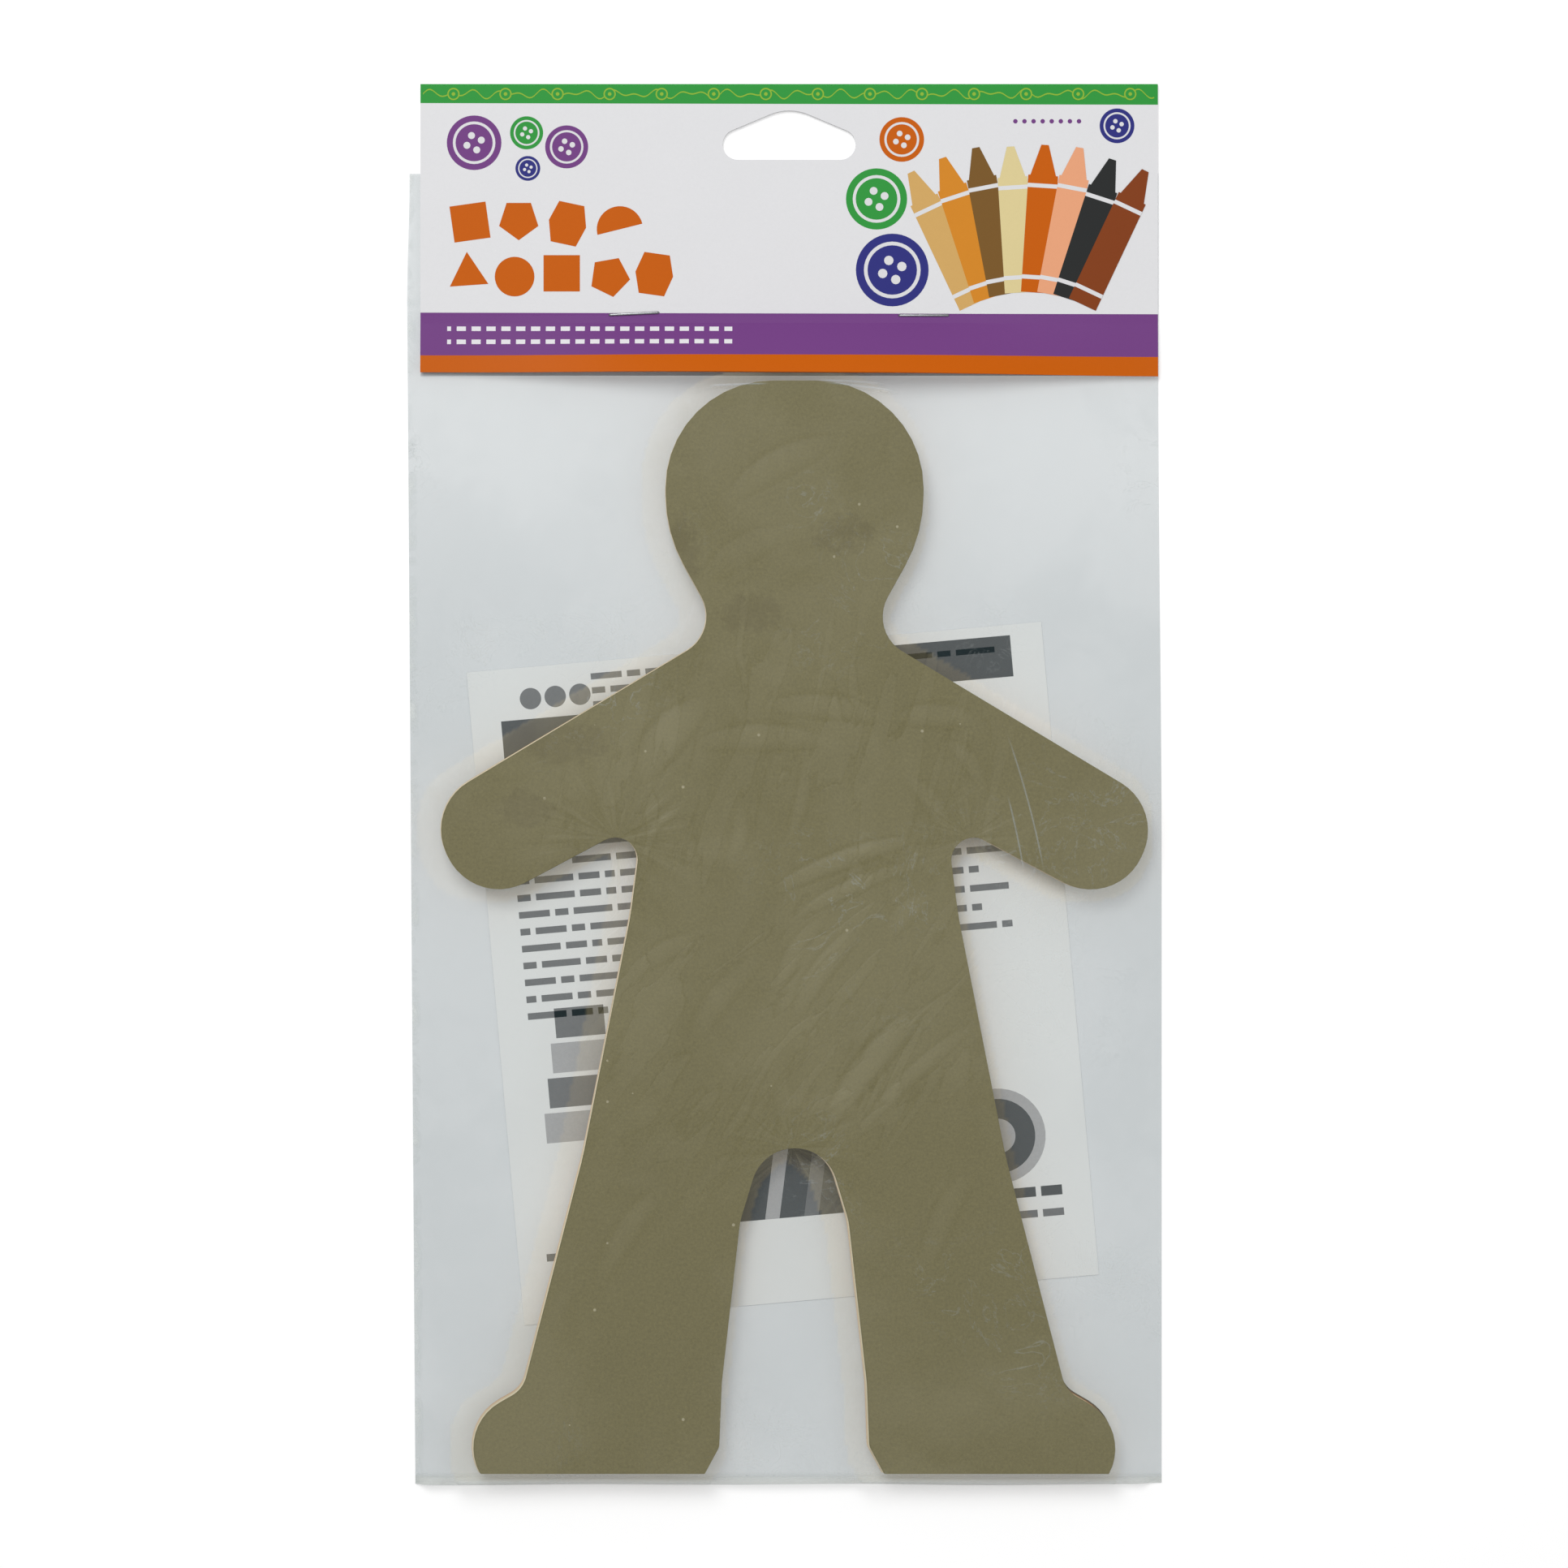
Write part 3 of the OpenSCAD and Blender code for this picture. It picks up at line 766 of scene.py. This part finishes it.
# The hang hole in millimetres: two round ends and a low peak between them, over a level edge
end_reach, end_radius = 12.4, 3.7
peak_radius, peak_middle, peak_turn = 12, -0.09, 67.2
hole_middle, hole_low = 1.25, 151.1
punch_level, punch_height = -0.001, 0.004
hole = arc(end_reach, end_radius, end_radius, -90, peak_turn, 14)
hole += arc(0, peak_middle, peak_radius, peak_turn, 180 - peak_turn, 8)
hole += arc(-end_reach, end_radius, end_radius, 180 - peak_turn, 270, 14)
bm = bmesh.new()
punch = flat_shape(bm, [((a + hole_middle) / 1000, (b + hole_low) / 1000) for a, b in hole], punch_level, 0)
grown = bmesh.ops.extrude_face_region(bm, geom=[punch])["geom"]
upper_verts = [part for part in grown if isinstance(part, bmesh.types.BMVert)]
bmesh.ops.translate(bm, vec=(0, 0, punch_height), verts=upper_verts)

# Shallow grooves in the back, which the clinched legs of the staples have pressed in
STAPLE_PLACES = [
    Matrix.Translation((-0.0363, 0.1138, 0)) @ Matrix.Rotation(math.radians(2.7), 4, "Z"),
    Matrix.Translation((0.0338, 0.1134, 0)),
]
groove_reach, groove_level = 0.0039, -0.0003
groove_size = Matrix.Diagonal((0.0052, 0.0007, 0.0013, 1))
for staple_place in STAPLE_PLACES:
    for side in (-1, 1):
        groove = staple_place @ Matrix.Translation((side * groove_reach, 0, groove_level)) @ groove_size
        bmesh.ops.create_cube(bm, size=1, matrix=groove)
bmesh.ops.recalc_face_normals(bm, faces=bm.faces)
mesh = bpy.data.meshes.new("punch")
bm.to_mesh(mesh)
bm.free()
punch = bpy.data.objects.new("punch", mesh)
bpy.context.collection.objects.link(punch)
cut = header.modifiers.new("punched", "BOOLEAN")
cut.object = punch
apply_modifiers(header)
bpy.data.objects.remove(punch)
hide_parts("header_card")


# Header print
# Flat printed motifs on the white part of the header: buttons, paper scraps and a fan of crayons,
# in the colours of the pack, and a line of loops along the green band.
def ink(name, tone):
    """Printing ink on coated card."""
    material, tree, principled, place = start_material("ink_" + name, card_roughness)
    paper_grain(tree, principled, place, tone, cloud=0.02, fibre=0.03, height=0.000012)
    principled.inputs["Specular IOR Level"].default_value = ink_shine
    return material


INKS = [
    ("white", colour(232, 232, 234)),
    ("purple", PURPLE_INK),
    ("green", GREEN_INK),
    ("blue", colour(50, 52, 132)),
    ("orange", ORANGE_INK),
    ("lime", colour(150, 190, 60)),
    ("tan", colour(220, 176, 105)),
    ("golden", colour(222, 142, 40)),
    ("brown", colour(128, 92, 42)),
    ("cream", colour(232, 215, 158)),
    ("peach", colour(244, 172, 130)),
    ("black", colour(44, 46, 46)),
    ("red_brown", colour(138, 66, 26)),
]
ink_number = {name: number for number, (name, tone) in enumerate(INKS)}
card_front = 0.00103
layer = 0.000012
bm = bmesh.new()


def print_shape(points, name, above=0, x=0, y=0, turn=0):
    """Prints a flat shape, in millimetres, turned about its own zero and moved to (x, y)."""
    c, s = math.cos(math.radians(turn)), math.sin(math.radians(turn))
    placed = [((x + a * c - b * s) / 1000, (y + a * s + b * c) / 1000) for a, b in points]
    flat_shape(bm, placed, card_front + above * layer, ink_number[name])


def disc(radius, points):
    """The outline of a disc round its own zero."""
    return arc(0, 0, radius, 0, 360 - 360 / points, points - 1)


def print_button(x, y, radius, name, turn=20):
    """A round button with a rim and four holes."""
    print_shape(disc(radius, 48), name, 0, x, y)
    print_shape(disc(radius * 0.78, 36), "white", 1, x, y)
    print_shape(disc(radius * 0.68, 36), name, 2, x, y)
    for hole in range(4):
        hole_turn = math.radians(turn + 90 * hole)
        hole_x = x + radius * 0.28 * math.cos(hole_turn)
        hole_y = y + radius * 0.28 * math.sin(hole_turn)
        print_shape(disc(radius * 0.13, 12), "white", 3, hole_x, hole_y)


def print_crayon(x, y, turn, length, name, above):
    """A crayon with its point up, leaning by turn degrees, with a white line near each end."""
    half_width, tip_length = 3.6, 8
    shoulder = length - tip_length
    tip_foot, tip_end = [(-3.1, shoulder), (3.1, shoulder)], [(0.9, length - 0.6), (-0.9, length - 0.6)]
    print_shape(block(-half_width, 0, half_width, shoulder), name, above, x, y, turn)
    print_shape(tip_foot + tip_end, name, above, x, y, turn)
    for low in (shoulder - 3, 3.2):
        print_shape(block(-half_width, low, half_width, low + 1), "white", above + 0.5, x, y, turn)


BUTTONS = [
    (-75, 155.2, 6.6, "purple"),
    (-62.3, 157.6, 4, "green"),
    (-62, 149, 3, "blue"),
    (-52.6, 154.2, 5.2, "purple"),
    (80.6, 159.3, 4.2, "blue"),
    (28.5, 156, 5.4, "orange"),
    (22.4, 141.6, 7.4, "green"),
    (26.2, 124.4, 8.8, "blue"),
]
for x, y, radius, name in BUTTONS:
    print_button(x, y, radius, name)

# Outlines of paper scraps: a square, a disc, a triangle, a half disc, a long hexagon and a pentagon
SCRAPS = [
    block(-4.4, -4.4, 4.4, 4.4),
    disc(4.8, 36),
    arc(0, 0, 5.4, -30, 210, 2),
    arc(0, -2, 5.6, 0, 180, 18),
    [(-3.1, -5), (3.1, -5), (4.6, 0), (3.1, 5), (-3.1, 5), (-4.6, 0)],
    arc(0, 0, 5, -90, 198, 4),
]
SCRAP_PLACES = [
    (-76, 136, 8),
    (-64.2, 136.6, 0),
    (-52.4, 135.6, -12),
    (-40.2, 136.2, 14),
    (-76.4, 123.4, 4),
    (-65.2, 122.8, -10),
    (-53.8, 123.6, 0),
    (-42.2, 122.8, 10),
    (-31.4, 123.4, -8),
]
for number, (x, y, turn) in enumerate(SCRAP_PLACES):
    print_shape(SCRAPS[number * 5 % len(SCRAPS)], "orange", 0, x, y, turn)

# The fan of crayons, and a short row of dots above it
CRAYONS = ("tan", "golden", "brown", "cream", "orange", "peach", "black", "red_brown")
fan_x, fan_y, fan_radius = 59, 88, 31
first_turn, turn_step = 25.2, 7.2
for number, name in enumerate(CRAYONS):
    turn = first_turn - turn_step * number
    lean = math.radians(turn)
    foot_x, foot_y = fan_x - fan_radius * math.sin(lean), fan_y + fan_radius * math.cos(lean)
    print_crayon(foot_x, foot_y, turn, 36 + 0.4 * (number % 3), name, number)
for number in range(8):
    print_shape(disc(0.55, 12), "purple", 0, 56 + 2.2 * number, 160.4)

# The line of loops along the green band, with rings on it
loops_y = 167
loop_points = [(-87.4 + 0.6 * i, loops_y + 1.2 * math.sin(i * 0.55) * math.cos(i * 0.13)) for i in range(296)]
half_line = 0.16
for (left, left_y), (right, right_y) in zip(loop_points, loop_points[1:]):
    lower = [(left, left_y - half_line), (right, right_y - half_line)]
    upper = [(right, right_y + half_line), (left, left_y + half_line)]
    print_shape(lower + upper, "lime")
RING_LAYERS = [(1.5, 24, "lime"), (1.15, 24, "green"), (0.45, 12, "lime")]
for number in range(14):
    for above, (radius, points, name) in enumerate(RING_LAYERS, 1):
        print_shape(disc(radius, points), name, above, -80 + 12.6 * number, loops_y)
finish_mesh(bm, "header_print", [ink(name, tone) for name, tone in INKS], "pack")


# Staples
# Two plain wire staples through the header and the bag. The crown lies on the front, and the legs
# are clinched inwards behind.
def staple_wire():
    """Bright drawn steel wire with fine lines along it."""
    material, tree, principled, place = start_material("staple_wire", 0.32)
    principled.inputs["Metallic"].default_value = 1
    lines = noise(tree, place, 2600, detail=2, roughness=0.6)
    tone = blend_colours(tree, lines, colour(120, 122, 124), colour(176, 178, 180))
    tree.links.new(tone, principled.inputs["Base Color"])
    bump = add(tree, "Bump", Strength=0.3, Distance=0.00001, Height=lines)
    tree.links.new(bump.outputs[0], principled.inputs["Normal"])
    return material


# Half of the wire's middle line in millimetres, from the leg's tip behind to the middle of the crown
leg_tip, leg, behind, crown = 1.5, 6.1, 0.2, 1.21
clinch_radius, corner_radius = 0.55, 0.5
half_route = [(leg_tip, behind)]
half_route += arc(leg - clinch_radius, behind + clinch_radius, clinch_radius, -90, 0, 5)
half_route += arc(leg - corner_radius, crown - corner_radius, corner_radius, 0, 90, 5)
half_route += [(0, crown)]
route = [(a / 1000, b / 1000) for a, b in half_route]
route += [(-a, b) for a, b in route[-2::-1]]
wire_section = Matrix.Diagonal((0.00018, 0.0003, 1, 1))
upright = Matrix.Rotation(math.pi / 2, 4, "Y")
wire = staple_wire()
for name, staple_place in zip(("staple_left", "staple_right"), STAPLE_PLACES):
    bm = bmesh.new()
    rings = []
    for i, (a, b) in enumerate(route):
        before, after = route[max(i - 1, 0)], route[min(i + 1, len(route) - 1)]
        slope = math.atan2(after[1] - before[1], after[0] - before[0])
        where = Matrix.Translation((a, 0, b)) @ Matrix.Rotation(-slope, 4, "Y") @ upright @ wire_section
        at_end = i in (0, len(route) - 1)
        ring = bmesh.ops.create_circle(bm, cap_ends=at_end, segments=12, radius=1, matrix=where)["verts"]
        rings.append(list({edge for vert in ring for edge in vert.link_edges}))
    for first, second in zip(rings, rings[1:]):
        bmesh.ops.bridge_loops(bm, edges=first + second)
    bmesh.ops.recalc_face_normals(bm, faces=bm.faces)
    for face in bm.faces:
        face.smooth = len(face.verts) == 4
    bmesh.ops.transform(bm, verts=bm.verts, matrix=staple_place)
    piece = finish_mesh(bm, name + "_wire", [wire], "pack")
    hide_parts(name)


# Floor and light
# A plain white studio table under broad soft light, stronger from beyond the header, which leaves
# a faint shadow below the bag.
bm = bmesh.new()
bmesh.ops.create_grid(bm, x_segments=1, y_segments=1, size=2.5)
mesh = bpy.data.meshes.new("floor")
bm.to_mesh(mesh)
bm.free()
floor = bpy.data.objects.new("floor", mesh)
floor_level = -0.00005
floor.location = (0, 0, floor_level)
bpy.context.collection.objects.link(floor)
WHITE = (1, 1, 1, 1)
material, tree, principled, place = start_material("floor", 0.9)
seen = add(tree, "LightPath").outputs
mirrored = maths(tree, "MAXIMUM", seen["Is Glossy Ray"], seen["Is Transmission Ray"])
sight = maths(tree, "MAXIMUM", seen["Is Camera Ray"], mirrored)
tree.links.new(blend_colours(tree, sight, colour(225, 225, 225), WHITE), principled.inputs["Base Color"])
principled.inputs["Emission Color"].default_value = WHITE
tree.links.new(maths(tree, "MULTIPLY", sight, 0.22), principled.inputs["Emission Strength"])
mesh.materials.append(material)

world = bpy.data.worlds.new("studio")
world.use_nodes = True
world.node_tree.nodes["Background"].inputs["Color"].default_value = WHITE
world.node_tree.nodes["Background"].inputs["Strength"].default_value = 0.45
bpy.context.scene.world = world
# Name, place, side length and power in watts
LIGHTS = [
    ("far_light", (-0.3, 0.72, 1.35), 0.8, 10.5),
    ("side_light", (1.2, 0.1, 1.2), 0.6, 2),
]
for name, place, size, power in LIGHTS:
    lamp = bpy.data.objects.new(name, bpy.data.lights.new(name, "AREA"))
    lamp.data.shape = "SQUARE"
    lamp.data.size = size
    lamp.data.energy = power
    lamp.location = place
    lamp.rotation_euler = Vector(place).to_track_quat("Z", "Y").to_euler()
    lamp.visible_camera = False
    bpy.context.collection.objects.link(lamp)
bpy.context.scene.view_settings.view_transform = "Standard"
